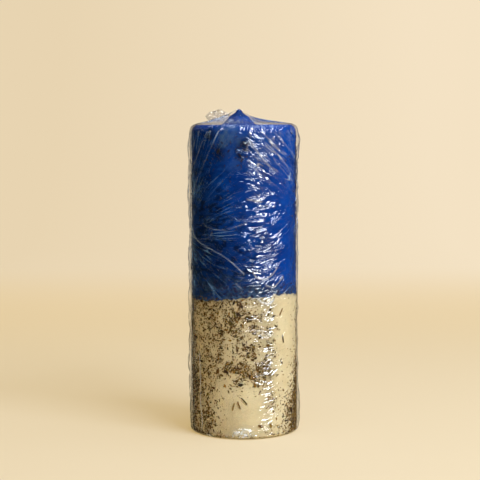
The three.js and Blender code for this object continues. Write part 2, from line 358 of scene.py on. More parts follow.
filmLook = {
    "tint": (0.76, 0.86, 1.0),
    "paintedBlueReflection": (0.08, 0.36, 1.0),     # painted reflection: the blue wax's colour given to its shine where it lies over the blue wax
    "faceOn": 0.10,                # share of light that both its faces return when seen square on
    "edgeOn": 0.62,
    "smoothest": 0.03,
    "patchiness": 0.14,
    "foldAlong": 13 * mm,          # reach of one swell of small folds, along and across them
    "foldAcross": 5 * mm,
    "foldLevels": 7,               # folds in one swell
    # thin lines: noise cells in one swell, along and across, half width in noise, strength
    "hairs": [(0.6, 1.7, 0.045, 1.0), (0.9, 3.3, 0.06, 0.7)],
    "foldDepth": 0.135 * mm,
    "slants": (16, -38, 84),       # the three ways the small folds slant (degrees)
    "gathered": (-88, 111),        # angle and height (mm) where the left side's folds run together
    "fanPerRadian": 5.5,
    "fanReach": 26 * mm,
    "crinkle": 0.04 * mm,
}


def flatNoise(tree, place, detail, distortion):
    inputs = {"Vector": place, "Scale": 1, "Detail": detail, "Distortion": distortion}
    return addNode(tree, "TexNoise", inputs, noise_dimensions="2D").outputs["Fac"]


# Folds that run along x: wave = sin(2 pi levels noise), the height lines of a cloudy noise, and
# line = 1 - |noise - 1/2| / width on two drawn-out noises, a thin line wherever each crosses its mean
def makeFoldGroup(levels, hairs):
    group, given, out = newGroup("foldWaves", {"Place": "Vector"}, {"Wave": "Float", "Line": "Float"})
    swing = mathNode(group, "MULTIPLY", flatNoise(group, given["Place"], 1, 0.4), 2 * math.pi * levels)
    total = 0.0
    for cellsAlong, cellsAcross, width, share in hairs:
        stretch = {0: given["Place"], 1: (cellsAlong, cellsAcross, 1)}
        drawn = addNode(group, "VectorMath", stretch, operation="MULTIPLY").outputs["Vector"]
        off = mathNode(group, "SUBTRACT", flatNoise(group, drawn, 0, 0.25), 0.5)
        near = mathNode(group, "DIVIDE", mathNode(group, "ABSOLUTE", off), width)
        thin = mathNode(group, "SUBTRACT", 1.0, near, True)
        total = mathNode(group, "MAXIMUM", mathNode(group, "MULTIPLY", thin, share), total)
    setInputs(group, out, {"Wave": mathNode(group, "SINE", swing), "Line": total})
    return group


foldGroup = makeFoldGroup(filmLook["foldLevels"], filmLook["hairs"])


def addFolds(tree, place):
    folds = addNode(tree, "Group", node_tree=foldGroup, inputs={"Place": place}).outputs
    return folds["Wave"], folds["Line"]


# Small folds along a slant of the sheet's own flat map
def slantedFolds(tree, flatMap, slant, look):
    inputs = {"Vector": flatMap, "Rotation": (0, 0, math.radians(slant)),
              "Scale": (look["foldAlong"], look["foldAcross"], 1)}
    return addFolds(tree, addNode(tree, "Mapping", vector_type="TEXTURE", inputs=inputs).outputs["Vector"])


# Small folds that run out from the point where the sheet gathers: place = (distance, bearing)
def fannedFolds(tree, flatMap, look):
    turn, height = look["gathered"]
    centre = (math.radians(turn) * wax["radius"], height * mm, 0)
    offset = addNode(tree, "VectorMath", {0: flatMap, 1: centre}, operation="SUBTRACT").outputs["Vector"]
    distance = addNode(tree, "VectorMath", {0: offset}, operation="LENGTH").outputs["Value"]
    parts = addNode(tree, "SeparateXYZ", {"Vector": offset}).outputs
    bearing = mathNode(tree, "ARCTAN2", parts["Y"], parts["X"])
    polar = addNode(tree, "CombineXYZ", {
        "X": mathNode(tree, "DIVIDE", distance, look["fanReach"]),
        "Y": mathNode(tree, "MULTIPLY", bearing, look["fanPerRadian"]),
    })
    wave, line = addFolds(tree, polar.outputs["Vector"])
    flatten = mathNode(tree, "DIVIDE", distance, look["fanReach"], True)
    return mathNode(tree, "MULTIPLY", wave, flatten), line


# Sum of values, each times its share of the place
def weighed(tree, values, shares):
    total = 0.0
    for value, share in zip(values, shares):
        total = mathNode(tree, "ADD", mathNode(tree, "MULTIPLY", value, share), total)
    return total


# Wave and line of all the small folds together, each way of folding by its share in "ways"
def foldSums(tree, look):
    flatMap = addNode(tree, "UVMap", uv_map="flatMap").outputs["UV"]
    folds = [slantedFolds(tree, flatMap, slant, look) for slant in look["slants"]]
    folds.append(fannedFolds(tree, flatMap, look))
    ways = addNode(tree, "Attribute", attribute_name="ways").outputs
    parts = addNode(tree, "SeparateColor", {"Color": ways["Color"]}).outputs
    shares = [parts["Red"], parts["Green"], parts["Blue"], ways["Alpha"]]
    return [weighed(tree, values, shares) for values in zip(*folds)]


# Share of the film that shines instead of letting light through:
# share = faceOn + edgeOn * facing ** 5 + layers + milk, where facing is nought square on and one
# edge-on
def shineShare(tree, milk, look):
    facing = addNode(tree, "LayerWeight", {"Blend": 0.5}).outputs["Facing"]
    edge = mathNode(tree, "MULTIPLY", mathNode(tree, "POWER", facing, 5), look["edgeOn"])
    share = mathNode(tree, "ADD", edge, look["faceOn"])
    added = mathNode(tree, "ADD", attributeValue(tree, "layers"), milk)
    return mathNode(tree, "ADD", share, added, True)


def filmNormal(tree, place, wave, look):
    deep = mathNode(tree, "MULTIPLY", wave, attributeValue(tree, "crumple"))
    crinkle = noiseValue(tree, place, scale=1100)
    fine = mathNode(tree, "MULTIPLY", crinkle, look["crinkle"] / look["foldDepth"])
    height = mathNode(tree, "ADD", deep, fine)
    bump = addNode(tree, "Bump", {"Strength": 1, "Distance": look["foldDepth"], "Height": height})
    return bump.outputs["Normal"]


# Clear film: see-through, and a mirror where it is seen edge-on or lies in several layers. Sharp folds
# turn it whitish: milk + lined * line
def filmMaterial(name, look):
    material, tree, shader = newMaterial(name)
    wave, line = foldSums(tree, look)
    lined = mathNode(tree, "MULTIPLY", line, attributeValue(tree, "lined"))
    milk = mathNode(tree, "ADD", attributeValue(tree, "milk"), lined)
    place = addNode(tree, "TexCoord").outputs["Object"]
    uneven = mathNode(tree, "MULTIPLY", noiseValue(tree, place, scale=260, detail=3), look["patchiness"])
    dull = mathNode(tree, "MULTIPLY", milk, -3.0)
    # Base colour: its tint, turned to the blue wax's colour as a painted reflection where the film lies over
    # the blue
    setInputs(tree, shader, {
        "Base Color": mixByAttribute(tree, "paintedBlueReflection", (*look["tint"], 1), look["paintedBlueReflection"]),
        "Roughness": mathNode(tree, "ADD", uneven, look["smoothest"]),
        "Metallic": mathNode(tree, "ADD", dull, 1.0, True),
        "Normal": filmNormal(tree, place, wave, look),
    })
    clear = addNode(tree, "BsdfTransparent").outputs["BSDF"]
    inputs = {"Fac": shineShare(tree, milk, look), 1: clear, 2: shader.outputs["BSDF"]}
    setSurface(tree, addNode(tree, "MixShader", inputs).outputs["Shader"])
    return material


clearFilm = filmMaterial("clearFilm", filmLook)
crushedFilm = filmMaterial("crushedFilm", {**filmLook, "tint": (0.60, 0.56, 0.50)})


# Tin plate of the wick holder, dulled and scuffed
def tinMaterial():
    material, tree, shader = newMaterial("tinPlate")
    mottle = addMottle(tree, (0.42, 0.42, 0.42), (0.66, 0.65, 0.63), 400, 1500, 0.3)
    worn = mathNode(tree, "MULTIPLY", mottle["Cloud"], 0.2)
    setInputs(tree, shader, {
        "Base Color": mottle["Colour"],
        "Normal": mottle["Normal"],
        "Roughness": mathNode(tree, "ADD", worn, 0.25),
        "Metallic": 1,
    })
    return material


tinPlate = tinMaterial()


# Cotton of the wick: a braid of crossing waves
def cottonMaterial():
    material, tree, shader = newMaterial("cotton")
    place = addNode(tree, "TexCoord").outputs["Object"]
    waves = {"Vector": place, "Scale": 500, "Distortion": 1.5}
    braid = addNode(tree, "TexWave", waves, bands_direction="DIAGONAL")
    bump = addNode(tree, "Bump", {"Distance": 0.2 * mm, "Height": braid.outputs["Fac"]})
    mottle = addMottle(tree, (0.55, 0.50, 0.40), (0.80, 0.76, 0.66), 900, 3000, 0.3)
    setInputs(tree, shader, {
        "Base Color": mottle["Colour"],
        "Normal": bump.outputs["Normal"],
        "Roughness": 0.9,
    })
    return material


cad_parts["wick"].data.materials.clear()
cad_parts["wick"].data.materials.append(cottonMaterial())

print("materials ready")


# Wax bodies

# Two layers of slow noise, so that the poured side isn't a true cylinder
def waxLump(angle, height):
    return wax["lump"] * (sideNoise(angle, height, 15 * mm, 1) + 0.5 * sideNoise(angle, height, 5 * mm, 2))


# Height of the line between the colours: it sags to the left of the front, and its edge is ragged
def pourLine(angle):
    sag = -2.2 * mm * np.exp(-0.5 * (arcFrom(angle, -75) / (14 * mm)) ** 2)
    rise = 1.2 * mm * np.exp(-0.5 * (arcFrom(angle, 42) / (12 * mm)) ** 2)
    ragged = 0.7 * sideNoise(angle, 0 * angle, 3.5 * mm, 3) + 0.6 * sideNoise(angle, 0 * angle, 1.5 * mm, 4)
    return wax["pour"] + sag + rise + 0.5 * mm * np.sin(3 * angle + 1) + ragged * mm


# Rows on a quarter circle round (radius, height), from one bearing to another
def quarter(radius, height, size, start, end, steps):
    turn = np.radians(np.linspace(start, end, steps))
    return radius + size * np.cos(turn), height + size * np.sin(turn)


def joinRows(*runs):
    radius = np.concatenate([np.atleast_1d(r) for r, z in runs])
    height = np.concatenate([np.atleast_1d(z) for r, z in runs])
    return radius[:, None], height[:, None]


waxTurn = np.linspace(-math.pi, math.pi, wax["columns"], endpoint=False)[None, :]


# Lower body: flat base, rounded foot and straight side up to the pour line, then the hidden face
def creamGrid():
    side, corner = wax["radius"], wax["baseRound"]
    foot = quarter(side - corner, wax["floor"] + corner, corner, -90, 0, 8)
    base = (np.linspace(0.5 * mm, foot[0][0], 12)[:-1], np.full(11, wax["floor"]))
    rise = np.linspace(wax["floor"] + corner, wax["pour"], 150)[1:]
    radius, height = joinRows(base, foot, (np.full(len(rise), side), rise))
    turn = waxTurn + 0 * radius
    radius = radius + ease((radius - 24 * mm) / (4 * mm)) * waxLump(turn, height)
    sag = pourLine(waxTurn) - wax["pour"]
    height = height + ease((height - wax["pour"]) / (9 * mm) + 1) * sag
    inner = np.linspace(side, 0.5 * mm, 7)[1:, None] + 0 * waxTurn
    level = wax["pour"] + sag * ease(inner / side)
    turn = np.concatenate([turn, waxTurn + 0 * inner])
    return turn, np.concatenate([radius, inner]), np.concatenate([height, level])


turn, radius, height = creamGrid()
creamPiece = makeTurned("creamWaxLower", roundPoints(turn, radius, height),
                        [(0, 0, wax["floor"]), (0, 0, wax["pour"])], creamWax)
stainAndShade = np.clip(herbDensity(turn, height) * 0.11 - 0.02, 0, 0.28)
bleed = np.exp(-np.clip(pourLine(turn) - height, 0, None) / (1.1 * mm))
bleed = bleed * np.clip(0.5 + 0.8 * sideNoise(turn, height, 2 * mm, 5), 0, 1)
setValues(creamPiece, "stainAndShade", np.append(stainAndShade.ravel(), [0, 0]))
setValues(creamPiece, "bleed", np.append(0.75 * bleed.ravel(), [0, 0]))
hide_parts("cream_wax_lower")


# Height of the top face at a distance from the wick: level, then a hollow-sided mound
def moundRise(distance):
    slope = (wax["moundRadius"] - distance) / (wax["moundRadius"] - wax["moundTopRadius"])
    return wax["moundHeight"] * np.clip(slope, 0, 1) ** 1.4


# Upper body: hidden face, side, rounded rim, and a top whose rings gather round the wick
def blueGrid():
    inner = (np.linspace(0.5 * mm, wax["radius"], 7)[:-1], np.full(6, wax["pour"]))
    rise = np.linspace(wax["pour"], wax["rim"] - wax["rimRound"], 170)[:-1]
    rim = quarter(wax["radius"] - wax["rimRound"], wax["rim"] - wax["rimRound"], wax["rimRound"], 0, 90, 14)
    radius, height = joinRows(inner, (np.full(len(rise), wax["radius"]), rise), rim)
    turn = waxTurn + 0 * radius
    share = ease((radius - 20 * mm) / (8 * mm)) * ease((wax["rim"] - height) / (6 * mm))
    radius = radius + share * waxLump(turn, height)
    lift = ease(1 - (height - wax["pour"]) / (9 * mm)) * ease(radius / wax["radius"])
    height = height + lift * (pourLine(waxTurn) - wax["pour"])
    across = np.linspace(rim[0][-1], 1.7 * mm, 70)[1:, None] + 0 * waxTurn
    lean = ease(1 - (across - wax["moundRadius"]) / (rim[0][-1] - wax["moundRadius"]))
    drips = 0.15 * mm * np.sin(5 * waxTurn + 2) * ease((12 * mm - across) / (4 * mm))
    top = wax["rim"] + moundRise(across) + drips * ease((across - 4 * mm) / (2 * mm))
    centre = np.concatenate([0 * radius, wickX * lean])
    points = roundPoints(np.concatenate([turn, waxTurn + 0 * across]), np.concatenate([radius, across]),
                         np.concatenate([height, top]))
    points[..., 0] += centre
    return points


# Pale bloom and dark smears on the blue wax: angle, height, reach across and up (mm), share
blueBloom = [(-17, 165, 4.5, 5, 0.85), (-6, 150, 6, 3, 0.2), (25, 160, 7, 6, 0.25), (-30, 84, 14, 4, 0.3),
             (20, 82, 18, 3, 0.35), (150, 120, 10, 8, 0.3), (-120, 150, 8, 8, 0.3)]
blueSmears = [(-28, 157, 1.4, 1.6, 0.8), (-40, 166, 0.9, 2.0, 0.8), (0, 161, 1.6, 1.2, 0.7),
              (-3, 155, 1.4, 1.8, 0.6)]

# Where the blue runs darker, partly for the herbs that sank into it and partly as painted shade down the left
# side, away from the key light, in the same words
blueShadeAndSunkHerbs = [(-32, 105, 16, 22, 0.55), (-50, 135, 12, 34, 0.35), (-4, 92, 12, 10, 0.5), (-62, 90, 12, 40, 0.3),
            (150, 100, 22, 30, 0.4), (-140, 120, 18, 30, 0.4)]

bluePoints = blueGrid()
bluePiece = makeTurned("blueWaxUpper", bluePoints, [(0, 0, wax["pour"]), (wickX, 0, wax["moundTop"])],
                       blueWax)
turn = np.arctan2(bluePoints[..., 0], -bluePoints[..., 1])
height = bluePoints[..., 2]
mottle = np.clip(0.5 + 1.4 * sideNoise(turn, height, 6 * mm, 6) + sideNoise(turn, height, 2.2 * mm, 7), 0, 1)
bloom = spotSum(turn, height, blueBloom) * np.clip(0.7 + 0.8 * sideNoise(turn, height, 2.5 * mm, 8), 0.2, 1.2)
bleed = 0.75 * np.exp(-np.clip(height - pourLine(turn), 0, None) / (2.0 * mm)) * (0.3 + 0.7 * mottle)
dark = spotSum(turn, height, blueSmears) + 0.45 * mottle * np.clip(spotSum(turn, height, blueHerbSpots), 0, 1)
# deep: a light darkening all over, with the sunk herbs and the painted shade on the left side added to it
deep = 0.12 + spotSum(turn, height, blueShadeAndSunkHerbs)
blotch = sideNoise(turn, 2 * height, 2.2 * mm, 9) + 0.7 * sideNoise(turn, 2 * height, 4.5 * mm, 10)
dark = dark + deep * (0.5 + 0.6 * ease((blotch + 0.1) / 0.9))
setValues(bluePiece, "stainAndShade", np.append(np.clip(dark, 0, 0.9).ravel(), [0, 0]))
setValues(bluePiece, "bleed", np.append(np.clip(bloom + bleed, 0, 0.8).ravel(), [0, 0]))
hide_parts("blue_wax_upper")


# Radius of the wax on the wick's tip, at a share of its height: a blunt cone with sagging sides
def tipRadius(share):
    flank = wax["moundTopRadius"] * (1 - share) ** 1.25
    crown = 2.3 * mm * np.sqrt(np.clip(1 - share ** 2, 0, 1))
    return np.maximum(flank, crown)


def tipGrid():
    share = np.linspace(0, 0.999, 40)[:, None]
    turn = np.linspace(-math.pi, math.pi, 72, endpoint=False)[None, :]
    drips = 1 + 0.05 * np.sin(3 * turn + 4 * share) + 0.035 * np.sin(8 * turn - 7 * share)
    height = wax["moundTop"] + (tipHigh.z - wax["moundTop"]) * share
    return roundPoints(turn, tipRadius(share) * drips, height, wickX)


tipPiece = makeTurned("wickTipWax", tipGrid(), [(wickX, 0, wax["moundTop"]), (wickX, 0, tipHigh.z)],
                      blueWax)
# The tip's wax is darkened all over (0.6) as painted shade, where the key and overhead lamps light its
# upturned flanks brightly
setValues(tipPiece, "stainAndShade", np.full(len(tipPiece.data.vertices), 0.6))
setValues(tipPiece, "bleed", np.full(len(tipPiece.data.vertices), 0.05))
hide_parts("wick_tip_wax")
print("wax ready")


# Herbs: every flake is a small pointed oval, domed by its middle point, turned its own way

crumbs = {
    "tries": 150000,
    "mostFine": 21000,
    "mostBroad": 4500,
    "mostOnBlue": 2500,
    "fine": (0.50 * mm, 1.5 * mm),        # shortest and longest
    "broad": (1.1 * mm, 2.5 * mm),
}
herbTones = np.array([
    (0.035, 0.014, 0.003), (0.090, 0.042, 0.006), (0.160, 0.080, 0.010), (0.200, 0.110, 0.018),
    (0.260, 0.165, 0.020), (0.150, 0.115, 0.014), (0.050, 0.034, 0.008), (0.310, 0.170, 0.026),
])

# Crumbs that sank into the blue wax keep a share of their own tone, and the wax adds some of its own
sunkShare = 0.05
sunkTone = np.array([0.0, 0.008, 0.080])

# Outlines of one flake, across and along: a pointed oval, and a splinter for the finest
oval = 0.5 * np.array([
    [0.0, 0.62, 1.0, 0.8, 0.0, -0.8, -1.0, -0.62],
    [-1.0, -0.55, 0.05, 0.62, 1.0, 0.62, 0.05, -0.55],
])
splinter = 0.5 * np.array([[0.0, 1.0, 0.1, -0.9], [-1.0, -0.2, 1.0, 0.3]])


def makeFlakes(name, outline, angle, height, length, width, turn, lift, tones):
    count = len(angle)
    corners = outline.shape[1]
    x = outline[0][None, :] * width[:, None]
    y = outline[1][None, :] * length[:, None]
    sideways = x * np.cos(turn)[:, None] + y * np.sin(turn)[:, None]
    upwards = y * np.cos(turn)[:, None] - x * np.sin(turn)[:, None]
    ground = wax["radius"] + waxLump(angle, height)
    curl = lift[:, None] * (0.5 + 1.0 * np.abs(outline[1])[None, :])
    around = angle[:, None] + sideways / wax["radius"]
    rim = roundPoints(around, ground[:, None] + curl, height[:, None] + upwards)
    dome = roundPoints(angle, ground + lift + 0.14 * mm, height)[:, None, :]
    root = roundPoints(angle, ground - 0.1 * mm, height)[:, None, :]
    points = np.concatenate([rim, dome, root], axis=1).reshape(-1, 3)
    corner = np.arange(corners)
    after = (corner + 1) % corners
    upper = np.stack([corner, after, np.full(corners, corners)], axis=-1)
    lower = np.stack([after, corner, np.full(corners, corners + 1)], axis=-1)
    one = np.concatenate([upper, lower])
    faces = (one[None] + (corners + 2) * np.arange(count)[:, None, None]).reshape(-1, 3)
    piece = makePiece(name, points, faces.tolist(), driedHerb, smooth=False)
    shades = np.concatenate([tones, np.ones((count, 1))], axis=1)
    setColours(piece, "tone", np.repeat(shades, corners + 2, axis=0))
    return piece


# Throws flakes at random over the side and keeps each with the chance that the density gives
def scatterFlakes(name, outline, seed, low, high, chance, most, sizes, shade):
    rng = np.random.default_rng(seed)
    angle = rng.uniform(-math.pi, math.pi, crumbs["tries"])
    height = rng.uniform(low, high, crumbs["tries"])
    keep = rng.random(crumbs["tries"]) < chance(angle, height)
    angle, height = angle[keep][:most], height[keep][:most]
    count = len(angle)
    length = sizes[0] + (sizes[1] - sizes[0]) * rng.random(count) ** 1.6
    width = length * rng.uniform(0.25, 0.6, count)
    tones = herbTones[rng.integers(0, len(herbTones), count)] * rng.uniform(*shade, (count, 1))
    if low > wax["pour"] - 2 * mm:
        tones = sunkShare * tones + sunkTone
    print(name, keep.sum(), "flakes")
    return makeFlakes(name, outline, angle, height, length, width, rng.uniform(0, math.pi, count),
                      rng.uniform(0.05, 0.28, count) * mm, tones)


# On the cream, and thick along the line where the colours meet, less so at the right
def creamChance(angle, height):
    below = (pourLine(angle) - height) / mm
    line = np.exp(-((below - 0.5) / 0.9) ** 2) * (0.30 + 0.9 * ease((34 - np.degrees(angle)) / 34))
    line = line * (below > 0.1)
    return 0.082 * herbDensity(angle, height) + 0.12 * line


def broadChance(angle, height):
    return 0.16 * creamChance(angle, height)


def blueChance(angle, height):
    above = (height - pourLine(angle)) / mm
    line = np.exp(-(above / 1.2) ** 2) * (0.30 + 0.7 * ease((34 - np.degrees(angle)) / 34))
    return (0.003 + spotSum(angle, height, blueHerbSpots) * 0.045 + 0.045 * line) * (above > 0)


scatterFlakes("herbCrumbsOnCream", splinter, 5, wax["floor"] + 0.6 * mm, wax["pour"] + 0.5 * mm, creamChance,
              crumbs["mostFine"], crumbs["fine"], (0.5, 1.5))
scatterFlakes("herbFlakesOnCream", oval, 6, wax["floor"] + 1 * mm, wax["pour"], broadChance,
              crumbs["mostBroad"], crumbs["broad"], (0.4, 1.2))
scatterFlakes("herbCrumbsOnBlue", splinter, 8, wax["pour"] - 1 * mm, wax["rim"] - 4 * mm, blueChance,
              crumbs["mostOnBlue"], crumbs["broad"], (0.03, 0.2))

# The larger herbs: the solids themselves, each with a tone by its number
herbNames = [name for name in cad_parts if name.startswith(("leaf_flake", "stem_bit", "seed"))]
for name in herbNames:
    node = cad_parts[name]
    node.data.materials.clear()
    node.data.materials.append(driedHerb)
    number = int(name[-2:])
    shade = herbTones[number % len(herbTones)] * (0.6 + 0.1 * (number % 5))
    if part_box(name)[0].z > wax["pour"]:
        shade = 0.18 * shade + 0.2 * sunkTone
    setColours(node, "tone", np.tile([*shade, 1.0], (len(node.data.vertices), 1)))

print("herbs ready")


# Film

film = {
    "columns": 312,
    "stand": 0.85 * mm,       # how far it stands off the wax on the whole
    "slack": 0.16 * mm,       # slow swells
    "ridge": 0.13 * mm,       # usual height of its many small ridges
    "crease": 0.32 * mm,      # height of its long creases
    "bulge": 0.35 * mm,       # how far the larger herbs push it out
    "ragged": 0.80 * mm,      # how far it stands in and out at the sides
    "lapStart": -94,          # free edge of the sheet, which laps over its other edge
    "lapEnd": -67,
    "flare": 1.1 * mm,        # how far the free edge stands off
    "flareBottom": 16 * mm,
    "openingRadius": 9.1 * mm,
    "lowest": 2.0 * mm,
    "closeAbove": 76 * mm,    # height above which its rows stand closer
    "shoulderRows": 10,
    "tentRows": 40,
    "flat": (0.207, 0.237),
}
gatherHeight = filmLook["gathered"][1] * mm

# The way the wrinkles run: angle, height (mm) and their rise to the right (degrees)
wrinkleRuns = [
    (-70, 150, 74), (-45, 150, 60), (-25, 150, 45), (-50, 126, 50), (-25, 126, 28), (-5, 142, 38),
    (-20, 112, 12), (-62, 116, 30), (-50, 98, -32), (-30, 94, -20), (0, 100, 8), (0, 84, 0),
    (8, 125, 18), (20, 112, 5), (30, 100, 14), (30, 86, 12), (15, 155, -42), (30, 162, -40),
    (45, 150, -46), (60, 140, -55), (62, 110, 75), (75, 100, 82), (22, 134, -12), (78, 160, -62),
    (30, 64, 14), (28, 50, 28), (28, 34, 28), (28, 20, 22), (0, 40, 40), (-30, 40, 62), (-60, 40, 84),
    (60, 40, 78), (80, 30, 82), (0, 8, 10), (0, 66, 20),
    (120, 150, -30), (150, 120, 10), (180, 90, -15), (-150, 120, 15), (-115, 150, 40),
    (-115, 40, 72), (140, 40, 24), (180, 30, -10), (-150, 60, -20), (115, 90, 20), (-110, 100, -20),
]

# Points where the film gathers: angle, height, first and last bearing of its creases (degrees, from
# level right, turning up), how far they reach (mm), how many, share of the full height
gathers = [
    (-88, 111, 22, 88, 62, 26, 1.0), (-88, 111, -62, 18, 34, 20, 0.8), (-10, 176, -118, -24, 40, 34, 0.8),
    (97, 150, 110, 250, 26, 22, 0.7), (178, 62, -60, 240, 30, 30, 0.7), (-130, 168, -80, -20, 34, 18, 0.8),
    (20, -2, 28, 150, 16, 18, 0.6), (88, 60, 100, 260, 34, 18, 0.5),
]

# Single creases that show most: share of the full height, half width (mm), and their course
longCreases = [
    (1.2, 0.42, [(-76, 117), (-72, 113.5), (-63, 109), (-45, 105.5), (-29, 102.5), (-20, 100), (-13, 97.4),
                 (-6, 94), (0, 91)]),
    (0.9, 0.45, [(-47, 117.4), (-39, 115.2), (-29, 114.6), (-20, 114.7), (-11, 116), (-3, 117.5),
                 (3, 118.6)]),
    (0.7, 0.45, [(-68, 113), (-56, 116), (-47, 118)]),
    (0.8, 0.45, [(-72, 110), (-56, 109), (-45, 109), (-38, 110.7), (-35, 113)]),
    (0.9, 0.45, [(-79, 143), (-61, 152), (-51, 159), (-45, 164.5), (-38, 169.4)]),
    (0.8, 0.45, [(-78, 150), (-68, 158), (-56, 166.5), (-49, 170.5)]),
    (0.8, 0.45, [(-72, 130), (-61, 140), (-45, 151.4), (-34, 160.5), (-28, 167)]),
    (1.0, 0.50, [(7, 162), (18, 154), (27, 149), (37, 146)]),
    (1.0, 0.50, [(25, 170.5), (36, 166), (52, 158.5), (70, 153)]),
    (1.0, 0.50, [(15, 169), (27, 163.3), (38, 158), (50, 155)]),
    (0.8, 0.50, [(54, 165), (60, 159), (62, 155)]),
    (1.1, 0.55, [(3, 131.4), (10, 130.6), (19, 130)]),
    (1.0, 0.50, [(2, 157), (6, 163)]),
    (1.0, 0.50, [(4.5, 169), (7.5, 164.5)]),
    (0.9, 0.45, [(5.5, 153), (6.3, 149)]),
    (1.1, 0.50, [(9, 92), (13, 88.5), (19, 87.7), (28, 89), (34, 92), (36, 94.5)]),
    (1.1, 0.50, [(22, 84.8), (31, 83), (39, 85.8), (45, 89)]),
    (1.0, 0.50, [(-8, 85.7), (-2.7, 83)]),
    (1.1, 0.50, [(13, 77.6), (19.5, 75), (27.6, 74.3), (32.5, 77)]),
    (1.0, 0.50, [(-55, 46), (-54.4, 31), (-54, 19.6), (-51, 8.7), (-52, 4)]),
    (0.8, 0.50, [(-65, 41), (-58, 44), (-55, 46)]),
]

# Short slanting folds one above the other that catch the light: half width (mm) and course
shortFolds = [
    (0.60, [(20, 70.5), (27, 72.5)]), (0.65, [(17, 67), (23, 66), (30, 68.5)]),
    (0.70, [(24, 62.5), (33, 65.8)]),
    (0.60, [(27, 58.6), (38, 62)]), (0.70, [(22, 55), (32, 57.8)]), (0.60, [(29, 51.6), (40, 55)]),
    (0.75, [(21, 47.6), (31, 51)]), (0.60, [(30, 45.2), (37, 47.6)]), (0.75, [(20, 41.5), (29, 44.6)]),
    (0.60, [(26, 38), (37, 41.2)]), (0.70, [(22, 34.2), (31, 35.8)]), (0.65, [(24, 29.4), (34, 32.6)]),
    (0.75, [(21, 24.8), (30, 27.4)]), (0.60, [(26, 20.4), (33, 23)]), (0.70, [(23, 14.4), (31, 16.6)]),
    (0.70, [(-8, 3.2), (0, 5.6), (8, 4.2)]), (0.70, [(-12, 5.6), (-4, 7.6)]), (0.60, [(20, 4.2), (36, 4.8)]),
    (0.60, [(10, 6.6), (16, 9.4), (24, 10.4)]), (0.60, [(-2, 2.4), (10, 2.6)]),
]

# How crumpled the film is from place to place: angle, height, reach across and up (mm), share
crumpledSpots = [(19, 112, 8, 34, 1.6), (26, 45, 4.2, 28, 1.1), (22, 155, 12, 14, 1.0), (2, 3, 8, 4, 1.6),
                 (88, 120, 8, 60, 0.7)]

# Where more layers of it shine, and where it is crushed whitish, in the same words
brightSpots = [(19, 112, 7, 34, 0.9), (18, 155, 9, 12, 0.5), (26, 44, 3.6, 26, 0.8), (2, 4, 8, 3, 0.5)]
crushedSpots = [(-4, 3.6, 3, 1.8, 0.9), (3, 2.4, 3, 1.0, 0.5), (-12, 2.2, 3, 1.2, 0.35), (-33, 4, 4, 2, 0.2)]

# Where it is pushed right off the wax: angle, height, reach across and up (mm), how far (mm)
standOffs = [(94, 162, 9, 3.5, 1.7), (88, 11, 9, 9, 1.0), (-84, 9, 9, 8, 0.6), (92, 128, 6, 5, 0.5),
             (92, 96, 5, 6, 0.4)]

# Where it is ruffled at the sides: angle, height, reach across and up (mm), share
raggedSpots = [(86, 120, 7, 36, 1.0), (90, 158, 8, 8, 0.8), (88, 20, 6, 16, 0.6), (-88, 30, 5, 24, 0.5)]

field = {"columns": 560, "rows": 500, "low": -2 * mm, "high": 175 * mm}
fieldTurn = (np.linspace(-math.pi, math.pi, field["columns"], endpoint=False)[None, :]
             + np.zeros((field["rows"], 1)))
fieldHeight = (np.linspace(field["low"], field["high"], field["rows"])[:, None]
               + np.zeros((1, field["columns"])))
fieldStepU = 2 * math.pi * wax["radius"] / field["columns"]
fieldStepV = (field["high"] - field["low"]) / (field["rows"] - 1)


# Reads a grid between its points: the four neighbours weighed by closeness, round the candle in u
def readGrid(grid, u, v):
    rows, columns = grid.shape
    v = np.clip(v, 0, rows - 1.001)
    i = np.floor(u).astype(int)
    j = v.astype(int)
    fu = u - i
    fv = v - j
    i0, i1 = i % columns, (i + 1) % columns
    low = grid[j, i0] * (1 - fu) + grid[j, i1] * fu
    high = grid[j + 1, i0] * (1 - fu) + grid[j + 1, i1] * fu
    return low * (1 - fv) + high * fv


def readField(grid, angle, height):
    u = (np.remainder(angle + math.pi, 2 * math.pi)) / (2 * math.pi) * field["columns"]
    return readGrid(grid, u, (height - field["low"]) / fieldStepV)


# Direction of the wrinkles: the runs' directions, doubled so that they have no arrow, weighed by a
# bell of their distance, added up and halved again
def wrinkleDirection():
    cosSum = 0 * fieldTurn
    sinSum = 0 * fieldTurn
    for a, z, rise in wrinkleRuns:
        distance = arcFrom(fieldTurn, a) ** 2 + (fieldHeight - z * mm) ** 2
        near = np.exp(-0.5 * distance / (12 * mm) ** 2) + 1e-9
        cosSum += near * math.cos(2 * math.radians(rise))
        sinSum += near * math.sin(2 * math.radians(rise))
    return 0.5 * np.arctan2(sinSum, cosSum) + 0.35 * sideNoise(fieldTurn, fieldHeight, 6 * mm, 30)


# Noise combed along the wrinkles: the mean of the noise met on a short walk both ways along them
def combedNoise(direction, cell, reach, seed):
    noise = sideNoise(fieldTurn, fieldHeight, cell, seed)
    noise = noise + 0.6 * sideNoise(fieldTurn, fieldHeight, 0.6 * cell, seed + 1)
    cosWay, sinWay = np.cos(direction), np.sin(direction)
    startU = np.arange(field["columns"])[None, :] + np.zeros((field["rows"], 1))
    startV = np.arange(field["rows"])[:, None] + np.zeros((1, field["columns"]))
    total = noise.copy()
    stride = 0.5 * mm
    for way in (stride, -stride):
        u, v = startU, startV
        for _ in range(int(reach / stride)):
            alongU, alongV = readGrid(cosWay, u, v), readGrid(sinWay, u, v)
            u = u + way * alongU / fieldStepU
            v = v + way * alongV / fieldStepV
            total += readGrid(noise, u, v)
    total -= total.mean()
    return total / total.std()


